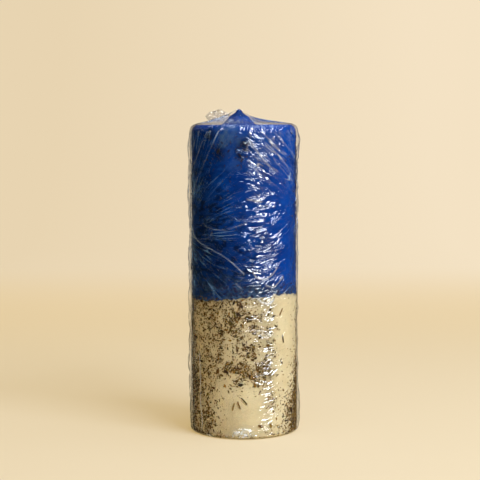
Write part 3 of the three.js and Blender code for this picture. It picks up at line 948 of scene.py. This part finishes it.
# Creases fanned out from a gathering point: thin ridges at set bearings, wavering as they run out
def fanCreases(a, z, first, last, reach, count, share, seed):
    rng = np.random.default_rng(seed)
    across = arcFrom(fieldTurn, a)
    up = fieldHeight - z * mm
    distance = np.hypot(across, up)
    bearing = np.degrees(np.arctan2(up, across)) + 6 * np.sin(distance / (11 * mm) + seed)
    total = 0 * distance
    for line in range(count):
        at = first + (last - first) * (line + rng.uniform(0.1, 0.9)) / count
        far = reach * mm * rng.uniform(0.4, 1.2)
        near = rng.uniform(1, 9) * mm
        wide = rng.uniform(0.28, 0.42) * mm
        gap = np.remainder(bearing - at + 180, 360) - 180
        ridge = np.exp(-(np.radians(gap) * distance / wide) ** 2) * (np.abs(gap) < 60)
        ridge *= ease((distance - near) / (4 * mm)) * ease((far - distance) / (10 * mm))
        total = np.maximum(total, rng.uniform(0.5, 1) * ridge)
    return share * total


# Cuts the corners of a course twice, which rounds it
def roundCourse(course):
    course = np.array(course, float)
    for _ in range(2):
        near = 0.75 * course[:-1] + 0.25 * course[1:]
        far = 0.25 * course[:-1] + 0.75 * course[1:]
        middle = np.stack([near, far], axis=1).reshape(-1, 2)
        course = np.concatenate([course[:1], middle, course[-1:]])
    return course


# One crease: a ridge whose height falls as a bell with the distance from its course
def courseCrease(share, wide, course):
    course = roundCourse(course)
    nearest = np.full(fieldTurn.shape, 1.0)
    for (a0, z0), (a1, z1) in zip(course[:-1], course[1:]):
        x = arcFrom(fieldTurn, a0)
        y = fieldHeight - z0 * mm
        dx = math.radians(a1 - a0) * wax["radius"]
        dy = (z1 - z0) * mm
        along = np.clip((x * dx + y * dy) / (dx * dx + dy * dy), 0, 1)
        nearest = np.minimum(nearest, np.hypot(x - along * dx, y - along * dy))
    return share * np.exp(-(nearest / (wide * mm)) ** 2)


wrinkleWay = wrinkleDirection()
fineFold = combedNoise(wrinkleWay, 1.3 * mm, 3.5 * mm, 31)
sharpFold = combedNoise(wrinkleWay, 1.4 * mm, 4 * mm, 36)
fineFold = 0.7 * fineFold + 0.9 * (0.8 - np.abs(sharpFold))
broadFold = combedNoise(wrinkleWay, 3.4 * mm, 8 * mm, 41)
creases = 0 * fieldTurn
for number, gather in enumerate(gathers):
    creases = np.maximum(creases, fanCreases(*gather, 60 + number))
longOnes = 0 * fieldTurn
for crease in longCreases:
    longOnes = np.maximum(longOnes, courseCrease(*crease))
creases = np.maximum(creases, longOnes)
for wide, course in shortFolds:
    creases = np.maximum(creases, courseCrease(1.2, wide, course))
crumple = 0.55 + 0.25 * sideNoise(fieldTurn, fieldHeight, 15 * mm, 51)
crumple = crumple - 0.25 * ease((wax["pour"] - fieldHeight) / (3 * mm))
crumple = np.clip(crumple + spotSum(fieldTurn, fieldHeight, crumpledSpots), 0.15, 2.4)

# Relief of the film, in metres: swells, ridges where the combed noise is high, and creases
relief = film["slack"] * 0.5 * broadFold
relief = relief + film["ridge"] * crumple * fineFold
relief = relief + film["crease"] * creases
relief = relief + spotSum(fieldTurn, fieldHeight, standOffs) * mm
ruffle = 0.7 * sideNoise(fieldTurn, fieldHeight, 3.2 * mm, 61)
ruffle = ruffle + 0.5 * sideNoise(fieldTurn, fieldHeight, 1.5 * mm, 62)
edgeFold = spotSum(fieldTurn, fieldHeight, raggedSpots) * ruffle
relief = relief + film["ragged"] * edgeFold
herbBump = 0 * fieldTurn
for name in herbNames:
    low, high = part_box(name)
    middle = (low + high) / 2
    distance = arcFrom(fieldTurn, math.degrees(math.atan2(middle.x, -middle.y))) ** 2
    distance = distance + (fieldHeight - middle.z) ** 2
    herbBump = np.maximum(herbBump, np.exp(-0.5 * distance / (1.4 * mm) ** 2))
relief = relief + film["bulge"] * herbBump
print("film relief ready")


# Angles of the sheet's columns, from its free edge once round and under itself: closest on the front
def sheetTurns():
    fine = np.linspace(film["lapStart"], film["lapEnd"] + 360, 4000)
    offFront = np.abs(np.remainder(fine + 180, 360) - 180)
    density = 0.36 + 0.40 * (offFront < 100) + 0.24 * (offFront < 65)
    total = np.cumsum(density)
    return np.radians(np.interp(np.linspace(total[0], total[-1], film["columns"]), total, fine))


sheetTurn = sheetTurns()[None, :]
lapShare = (np.degrees(sheetTurn) - film["lapStart"]) / (film["lapEnd"] - film["lapStart"])
isLap = ease((1.25 - lapShare) / 0.25)          # one over the lap, falling to nought just past it
isUnder = ease((lapShare - 10.9) / 0.3)         # the last stretch, drawn in on its way beneath the lap


# How far the sheet's lapping end stands off: most at its free edge, pinched in at one height
def lapLift(height):
    out = np.clip(1 - lapShare, 0, 1) ** 1.3
    span = ease((height - film["flareBottom"]) / (4 * mm)) * ease((wax["rim"] - 2 * mm - height) / (9 * mm))
    pinch = 1 - 0.75 * np.exp(-0.5 * ((height - gatherHeight) / (5 * mm)) ** 2)
    wave = 1 + 0.25 * np.sin(height / (5 * mm)) + 0.2 * np.sin(height / (1.9 * mm) + 3 * lapShare)
    return film["flare"] * out * span * pinch * wave + 0.22 * mm * isLap


def sideRows():
    upper = np.linspace(wax["rim"] - wax["rimRound"], film["closeAbove"], 152)
    lower = np.linspace(film["closeAbove"], film["lowest"], 104)[1:]
    return np.concatenate([upper, lower])[::-1][:, None]


# Distance from the wick at which the tent's fall has spent most of itself, longer on the left
def tentSpread(turn):
    return (8.6 + 5.5 * ease((-np.sin(turn) - 0.2) / 0.9)) * mm


# Height of the wick tip's wax at a distance from the wick
def coneTop(distance):
    share = np.linspace(0, 0.999, 60)
    reach = tipRadius(share)[::-1]
    rise = (wax["moundTop"] + (tipHigh.z - wax["moundTop"]) * share)[::-1]
    return np.interp(distance, reach, rise, right=0)


# Pleats of the tent: how many, height (mm), phase
tentPleats = [(7, 0.30, 1.3), (13, 0.30, 4.1), (29, 0.22, 2.2)]


# Rows of the tent from the shoulder to the peak, as shares of the way, closest at the peak
tentSteps = 1 - (1 - np.linspace(0, 1, film["tentRows"] + 1)[1:]) ** 2


# Up the side: wax + stand + relief, and the lap
def filmSide():
    height = sideRows()
    radius = wax["radius"] + waxLump(sheetTurn, height) + film["stand"] + readField(relief, sheetTurn, height)
    return radius + lapLift(height) - 0.12 * mm * isUnder, height


# Under the base, from its ragged opening outwards
def filmFoot():
    out = np.linspace(0, 1, 7)[:, None]
    ragged = 0.6 * mm * sideNoise(sheetTurn, 0 * sheetTurn, 3 * mm, 71)
    reach = wax["radius"] - 1.2 * mm - film["openingRadius"]
    radius = film["openingRadius"] + reach * out + ragged * (1 - out)
    gather = 0.5 + 0.5 * np.sin(41 * sheetTurn + 3 * np.sin(5 * sheetTurn))
    return radius, 0.08 * mm + 0.12 * mm * gather * ease((28 * mm - radius) / (8 * mm))


# Round the base's edge, between the last row below and the first row of the side
def filmBend(foot, side):
    bend = np.radians(np.linspace(-84, -8, 5))[:, None]
    radius = foot[0][-1:] + (side[0][:1] - foot[0][-1:]) * np.cos(bend)
    return radius, side[1][0] + (side[1][0] - foot[1][-1:]) * np.sin(bend)


def filmShoulder(side):
    arc = np.radians(np.linspace(6, 78, film["shoulderRows"]))[:, None]
    centre = wax["radius"] - wax["rimRound"]
    radial = sideNoise(sheetTurn, wax["rimRound"] * arc * 0.5, 1.6 * mm, 73)
    radial = 0.30 * mm * radial * np.sin(math.pi * ease(arc / math.radians(70)) * 0.8)
    radius = centre + (side[0][-1:] - centre + radial) * np.cos(arc)
    return radius, wax["rim"] - wax["rimRound"] + (wax["rimRound"] + 0.7 * mm + radial) * np.sin(arc)


# Tent over the top: rim + gap + fall * exp(-distance / spread) + pleats, but never inside the wax
def filmTent(shoulder):
    edge, low = shoulder[0][-1:], shoulder[1][-1:]
    share = tentSteps[:, None]
    radius = edge * (1 - share) + 0.12 * mm * share
    spread = tentSpread(sheetTurn)
    fall = np.exp(-radius / spread) - np.exp(-edge / spread)
    fall = fall / (1 - np.exp(-edge / spread))
    height = low + (tipHigh.z + 0.45 * mm - low) * fall
    pleats = 0
    for count, size, phase in tentPleats:
        pleats = pleats + size * mm * np.abs(np.sin(count * sheetTurn + phase + 2.2 * share))
    height = height + pleats * np.sin(math.pi * share) ** 0.7
    cone = np.maximum(wax["rim"] + moundRise(radius), coneTop(radius)) + 0.35 * mm
    return radius, np.maximum(height, cone)


# The whole sheet: round the base's edge, up the side, over the rim and up to a peak at the wick
def filmGrid():
    foot = filmFoot()
    side = filmSide()
    bend = filmBend(foot, side)
    shoulder = filmShoulder(side)
    tent = filmTent(shoulder)
    runs = [foot, bend, side, shoulder, tent]
    radius = np.concatenate([run[0] + 0 * sheetTurn for run in runs])
    height = np.concatenate([run[1] + 0 * sheetTurn for run in runs])
    points = roundPoints(sheetTurn + 0 * radius, radius, height)
    points[-len(tentSteps):, :, 0] += wickX * ease(1 - (tent[0] - 6 * mm) / (20 * mm))
    return points, len(foot[0]) + len(bend[0]), len(side[0])


filmPoints, footRows, sideCount = filmGrid()
rows, columns = filmPoints.shape[:2]
points = np.concatenate([filmPoints.reshape(-1, 3), [(wickX, 0, tipHigh.z + 0.5 * mm)]])
faces = gridFaces(rows, columns, closed=False).tolist()
faces += poleFaces(rows - 1, columns, rows * columns, False, closed=False).tolist()
filmWrap = makePiece("filmWrap", points, faces, clearFilm)

# Which part of the sheet each point is in, from nought to one
turnAll = sheetTurn + np.zeros((rows, 1))
degreesAll = np.degrees(turnAll)
heightAll = filmPoints[..., 2]
onSide = np.zeros((rows, 1))
onSide[footRows:footRows + sideCount] = 1
tentShare = np.zeros((rows, 1))
tentShare[-len(tentSteps):, 0] = tentSteps
onShoulder = np.zeros((rows, 1))
onShoulder[footRows + sideCount:-len(tentSteps), 0] = np.linspace(0, 1, film["shoulderRows"])
onTop = (tentShare > 0) | (onShoulder > 0)
onTent = ease(tentShare * 3) + ease(onShoulder)
onCream = ease((wax["pour"] - heightAll) / (2 * mm)) * onSide
onBlue = onSide * (1 - onCream)
lapHere = isLap * onSide
edgeHere = ease((0.16 - lapShare) / 0.08) * onSide
creaseHere = np.clip(readField(longOnes, turnAll, heightAll), 0, 1) * onSide
streaks = sideNoise(3 * turnAll, 0.25 * heightAll, 1.6 * mm, 72)


def spotsHere(spots):
    return np.clip(spotSum(turnAll, heightAll, spots), 0, 1)


ruffled = spotsHere(raggedSpots) * onSide


# How much more it shines, where it lies in several layers or is stretched bright
def filmLayers():
    frayed = np.clip(sideNoise(turnAll, 0.4 * heightAll, 1.4 * mm, 76), 0, 1)
    layers = lapHere * (0.12 - 0.02 * onCream + 0.45 * streaks) + 0.15 * edgeHere
    layers = layers + 0.35 * ruffled * frayed + 0.17 * spotsHere(brightSpots) * onSide
    layers = layers + 0.08 * np.clip(onTent, 0, 1) - 0.20 * ease((tentShare - 0.66) / 0.12)
    return np.clip(layers, -0.3, 0.8)


# How whitish it is, along creases, on the lap and where it is crushed
def filmMilk():
    milk = (0.36 + 0.20 * onCream) * creaseHere ** (3 - 1.2 * onCream)
    milk = milk + 0.08 * lapHere * ease(streaks)
    return milk + 0.55 * spotsHere(crushedSpots) * ease(sideNoise(turnAll, heightAll, 0.9 * mm, 75) + 0.4)


# How much of the blue wax's colour is painted into its shine, as a painted reflection of the wax: over the
# blue, on the lap and on the tent
def filmPaintedBlueReflection():
    tent = np.clip(onTent, 0, 1) * (0.25 + 0.45 * ease(np.sin(turnAll) + 0.3))
    paintedBlueReflection = tent + (0.35 * lapHere + 0.1 * edgeHere) * (1 - onCream)
    paintedBlueReflection = np.maximum(paintedBlueReflection, 0.85 * ease((16 - degreesAll) / 40) * onBlue)
    paintedBlueReflection = paintedBlueReflection * (1 - 0.6 * creaseHere)
    return np.maximum(paintedBlueReflection, 0.5 * ease((degreesAll - 42) / 12) * onBlue)


# Shares of the ways in which the small folds run: rising, falling, upright and fanned out
def foldWays():
    down = ease((heightAll - 126 * mm) / (12 * mm))
    down = down * ease((degreesAll - 2) / 12) * ease((130 - degreesAll) / 20)
    upright = ease((-62 - degreesAll) / 12) + ease((degreesAll - 58) / 14) * ease((120 - degreesAll) / 20)
    upright = np.clip(upright + ease(-degreesAll / 20) * onCream + onTop, 0, 1)
    down = down * (1 - upright)
    fan = ease((2 - degreesAll) / 24) * ease((degreesAll + 96) / 8) * (1 - onCream) * (1 - upright)
    up = np.clip(1 - down - upright - fan, 0, 1)
    return up, down, upright, fan


def filmLines(down, fan):
    patches = np.clip(0.5 + 0.9 * sideNoise(turnAll, heightAll, 7 * mm, 74), 0.35, 1.1)
    lined = 0.15 + 0.28 * fan + 0.25 * down - 0.09 * onCream + 0.15 * lapHere
    onPleats = (tentShare > 0) * (0.12 + 0.25 * ease((0.7 - tentShare) / 0.2))
    return (lined + 0.2 * ruffled) * patches + onPleats


def filmCrumple():
    folded = np.clip(onSide + 0.6 * (onShoulder > 0) + 1.6 * (tentShare > 0), 0, 1.6)
    return readField(crumple, turnAll, heightAll) * folded


# Way along the sheet from row to row, level with the candle's height at the foot of the side
def sheetWay():
    profile = np.stack([np.hypot(filmPoints[:, 0, 0], filmPoints[:, 0, 1]), heightAll[:, 0]])
    way = np.cumsum(np.hypot(*np.diff(profile, axis=1, prepend=profile[:, :1])))[:, None]
    return way - way[footRows] + heightAll[footRows, 0]


up, down, upright, fan = foldWays()
filmValues = [("layers", filmLayers(), 0.0), ("milk", filmMilk(), 0.0), ("paintedBlueReflection", filmPaintedBlueReflection(), 0.3),
              ("lined", filmLines(down, fan), 0.0), ("crumple", filmCrumple(), 0.0)]
for name, values, atPeak in filmValues:
    setValues(filmWrap, name, np.append(values.ravel(), atPeak))
ways = np.stack([up, down, upright, fan], axis=-1).reshape(-1, 4)
setColours(filmWrap, "ways", np.append(ways, [[0, 0, 1, 0]], axis=0))
way = sheetWay()
setFlatMap(filmWrap, np.append(turnAll * wax["radius"], 0), np.append(way + 0 * turnAll, way[-1]))
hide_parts("cling_film_wrap")
print("film wrap ready", len(faces))


# The spare end of the sheet, twisted at the wick and lying crushed to its left: a flattened tube.
# half height = neck + (mouth - neck) * share, closing at its end; thickness = part of the half height;
# both swollen by pleats along it and by crumples
bunch = {
    "length": 12.6 * mm,
    "neck": 0.8 * mm,
    "mouth": 2.2 * mm,
    "thickness": 0.7,
    "start": 5.2 * mm,
    "sink": 1.3 * mm,
}


def makeBunch():
    share = np.linspace(0, 1, 72)[:, None]
    turn = np.linspace(0, 2 * math.pi, 150, endpoint=False)[None, :]
    around = turn / (2 * math.pi)
    size = bunch["neck"] + (bunch["mouth"] - bunch["neck"]) * ease(share * 2.2)
    size = size * np.sqrt(np.clip(1 - np.clip((share - 0.82) / 0.19, 0, 1) ** 2, 0.02, 1))
    pleat = 0.16 * np.abs(np.sin(5 * turn + 3 * share)) + 0.10 * np.sin(13 * turn - 7 * share)
    crumpled = 0.34 * np.abs(latticeNoise(around * 9, share * 6, 9, 81))
    crumpled = crumpled + 0.22 * np.abs(latticeNoise(around * 19, share * 14, 19, 82))
    radius = size * (0.85 + (pleat + crumpled) * ease(share * 4))
    sway = 0.9 * mm * latticeNoise(around * 7, share * 4, 7, 83)
    x = wickX - bunch["start"] - bunch["length"] * share + sway * share
    y = bunch["thickness"] * radius * np.cos(turn) - 0.8 * mm * share + sway * share
    z = wax["rim"] + 5.6 * mm - bunch["sink"] * share ** 2 + radius * np.sin(turn)
    points = np.stack([x + 0 * turn, y, z], axis=-1)
    rows, columns = points.shape[:2]
    piece = makePiece("filmTwist", points.reshape(-1, 3), gridFaces(rows, columns).tolist(), crushedFilm)
    folds = ease(((pleat + crumpled) - 0.30) / 0.12)
    setValues(piece, "milk", 0.06 * folds)
    for name, value in (("layers", 0.10), ("paintedBlueReflection", 0.0), ("lined", 0.6), ("crumple", 0.6)):
        setValues(piece, name, np.full(rows * columns, value))
    setColours(piece, "ways", np.tile([1.0, 0, 0, 0], (rows * columns, 1)))
    setFlatMap(piece, turn * bunch["mouth"] + 0 * share, bunch["length"] * share + 0 * turn)
    return piece


filmTwist = makeBunch()
print("film ready")


# Wick holder under the base: a plate with a collar, turned about the wick
def makeHolder():
    plate = (tabHigh.x - tabLow.x) / 2
    bore = (wickHigh.x - wickLow.x) / 2 + 0.05 * mm
    collar = bore + 0.5 * mm
    low, top = tabLow.z, tabHigh.z
    flat = low + 0.4 * mm
    profile = np.array([
        (bore, low), (plate - 0.15 * mm, low), (plate, low + 0.12 * mm), (plate, flat - 0.12 * mm),
        (plate - 0.15 * mm, flat), (collar + 0.5 * mm, flat), (collar + 0.1 * mm, flat + 0.2 * mm),
        (collar, flat + 0.6 * mm), (collar, top - 0.1 * mm), (collar - 0.1 * mm, top), (bore, top),
        (bore, low),
    ])
    turn = np.linspace(-math.pi, math.pi, 96, endpoint=False)[None, :]
    grid = roundPoints(turn, profile[:, :1], profile[:, 1:], wickX)
    faces = gridFaces(*grid.shape[:2]).tolist()
    piece = makePiece("wickHolder", grid.reshape(-1, 3), faces, tinPlate)
    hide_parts("wick_sustainer")


makeHolder()


# Set: a paper floor that sweeps up behind the candle

paper = {
    # The floor's own colour is cool; the warm glow seen near the candle is painted light, which no lamp gives
    # and the candle's shadow can't darken, so the shadow reads warm
    "floor": (0.60, 0.64, 0.65),
    "bounced": (0.80, 0.60, 0.34),    # the colour of the light that it throws back on the candle
    "warmShadowGlow": (1.0, 0.69, 0.26),
    "left": (0.807, 0.658, 0.440),
    "right": (0.905, 0.761, 0.552),
    "plainNear": 0.48,    # share of its plain colour seen near the candle, where the rest takes shadow
    "dimmed": 0.965,      # share of it that is hidden from shiny surfaces near the candle
    "dimmedFar": 0.8,     # the same, far behind the candle
}


# Share that rises smoothly with the distance behind the candle
def depthShare(tree, depth, near, far, low=0.0, high=1.0):
    inputs = {"Value": depth, "From Min": near, "From Max": far, "To Min": low, "To Max": high}
    return addNode(tree, "MapRange", inputs, interpolation_type="SMOOTHSTEP").outputs["Result"]


# Plain colour of the backdrop: a tint from left to right, and near the candle a painted warm glow, which
# keeps the candle's shadow on the floor warm
def backdropColour(tree, parts):
    across = addNode(tree, "MapRange", {"Value": parts["X"], "From Min": -0.3, "From Max": 0.3})
    tint = mixColours(tree, across.outputs["Result"], (*paper["left"], 1), (*paper["right"], 1))
    far = depthShare(tree, parts["Y"], 0.15, 0.9)
    return mixColours(tree, far, (*paper["warmShadowGlow"], 1), tint)


# Paper: a real surface near the candle, so that it takes shadow, fading with depth into the plain colour of
# the backdrop. Near the candle part of what the camera sees is that painted glow, which lightens the shadow
def sweepMaterial():
    material, tree, shader = newMaterial("sweepPaper")
    path = addNode(tree, "LightPath").outputs
    own = mixColours(tree, path["Is Diffuse Ray"], (*paper["floor"], 1), (*paper["bounced"], 1))
    setInputs(tree, shader, {"Base Color": own, "Roughness": 0.95, "Specular IOR Level": 0.05})
    place = addNode(tree, "TexCoord").outputs["Object"]
    parts = addNode(tree, "SeparateXYZ", {"Vector": place}).outputs
    glow = addNode(tree, "Emission", {"Color": backdropColour(tree, parts)}).outputs["Emission"]
    seen = mathNode(tree, "ADD", path["Is Camera Ray"], path["Is Glossy Ray"], True)
    seen = mathNode(tree, "ADD", seen, path["Is Transmission Ray"], True)
    plain = depthShare(tree, parts["Y"], 0.15, 0.9, paper["plainNear"])
    share = mathNode(tree, "MULTIPLY", seen, plain)
    blend = addNode(tree, "MixShader", {"Fac": share, 1: shader.outputs["BSDF"], 2: glow}).outputs["Shader"]
    dark = depthShare(tree, parts["Y"], 0.3, 0.9, paper["dimmed"], paper["dimmedFar"])
    hidden = mathNode(tree, "MULTIPLY", path["Is Glossy Ray"], dark)
    setSurface(tree, addNode(tree, "MixShader", {"Fac": hidden, 1: blend}).outputs["Shader"])
    return material


def makeSweep():
    floor = (np.linspace(-0.62, 1.1, 30), np.zeros(30))
    bend = np.radians(np.linspace(0, 90, 24))[1:]
    wall = (np.full(8, 1.6), np.linspace(0.5, 2.2, 9)[1:])
    depth, height = joinRows(floor, (1.1 + 0.5 * np.sin(bend), 0.5 - 0.5 * np.cos(bend)), wall)
    across = np.linspace(-1.8, 1.8, 9)[None, :]
    points = np.stack([across + 0 * depth, depth + 0 * across, height + 0 * across], axis=-1)
    mesh = bpy.data.meshes.new("sweep")
    mesh.from_pydata(points.reshape(-1, 3).tolist(), [], gridFaces(len(depth), 9, closed=False).tolist())
    mesh.polygons.foreach_set("use_smooth", np.ones(len(mesh.polygons), bool))
    sweep = bpy.data.objects.new("sweep", mesh)
    bpy.context.scene.collection.objects.link(sweep)
    mesh.materials.append(sweepMaterial())


makeSweep()


# Light and camera

def softbox(name, bearing, elevation, distance, size, power, tint):
    lamp = bpy.data.lights.new(name, "AREA")
    lamp.shape = "RECTANGLE"
    lamp.size, lamp.size_y = size
    lamp.energy = power
    lamp.color = tint
    turn, rise = math.radians(bearing), math.radians(elevation)
    aim = Vector((0, 0, 0.09))
    way = Vector((math.sin(turn) * math.cos(rise), -math.cos(turn) * math.cos(rise), math.sin(rise)))
    holder = bpy.data.objects.new(name, lamp)
    holder.location = aim + distance * way
    holder.rotation_euler = (-way).to_track_quat("-Z", "Y").to_euler()
    bpy.context.scene.collection.objects.link(holder)


softbox("key", 42, 36, 1.25, (0.74, 0.50), 16.3, (1.0, 0.97, 0.93))
softbox("overhead", 60, 78, 1.5, (1.3, 1.3), 14, (1.0, 0.98, 0.95))
softbox("leftRim", -102, 33, 1.3, (0.30, 0.50), 0.3, (1.0, 0.97, 0.94))

room = {
    "fill": (0.15, 0.12, 0.075),         # soft light from all round
    "mirrored": (0.005, 0.013, 0.03),    # what shiny surfaces find there
    "seen": (0.85, 0.71, 0.50),          # the plain colour behind everything
}


def makeRoom():
    world = bpy.data.worlds.new("studio")
    bpy.context.scene.world = world
    world.use_nodes = True
    tree = world.node_tree
    path = addNode(tree, "LightPath")
    colour = (*room["fill"], 1)
    for ray, name in (("Glossy", "mirrored"), ("Transmission", "seen"), ("Camera", "seen")):
        colour = mixColours(tree, path.outputs[f"Is {ray} Ray"], colour, (*room[name], 1))
    setInputs(tree, tree.nodes["Background"], {"Color": colour})


makeRoom()

view = {
    "distance": 0.760,
    "focalPixels": 1363,
    "framePixels": 480,
    "pitch": 4.84,
    "aside": -2.0 * mm,
    "roll": 0.2,
}


def makeCamera():
    data = bpy.data.cameras.new("camera")
    data.sensor_width = 36
    data.lens = data.sensor_width * view["focalPixels"] / view["framePixels"]
    camera = bpy.data.objects.new("camera", data)
    camera.location = (view["aside"], -view["distance"], wax["rim"])
    camera.rotation_euler = (math.radians(90 - view["pitch"]), math.radians(view["roll"]), 0)
    bpy.context.scene.collection.objects.link(camera)
    bpy.context.scene.camera = camera


makeCamera()
bpy.context.scene.view_settings.view_transform = "Standard"
print("set ready")
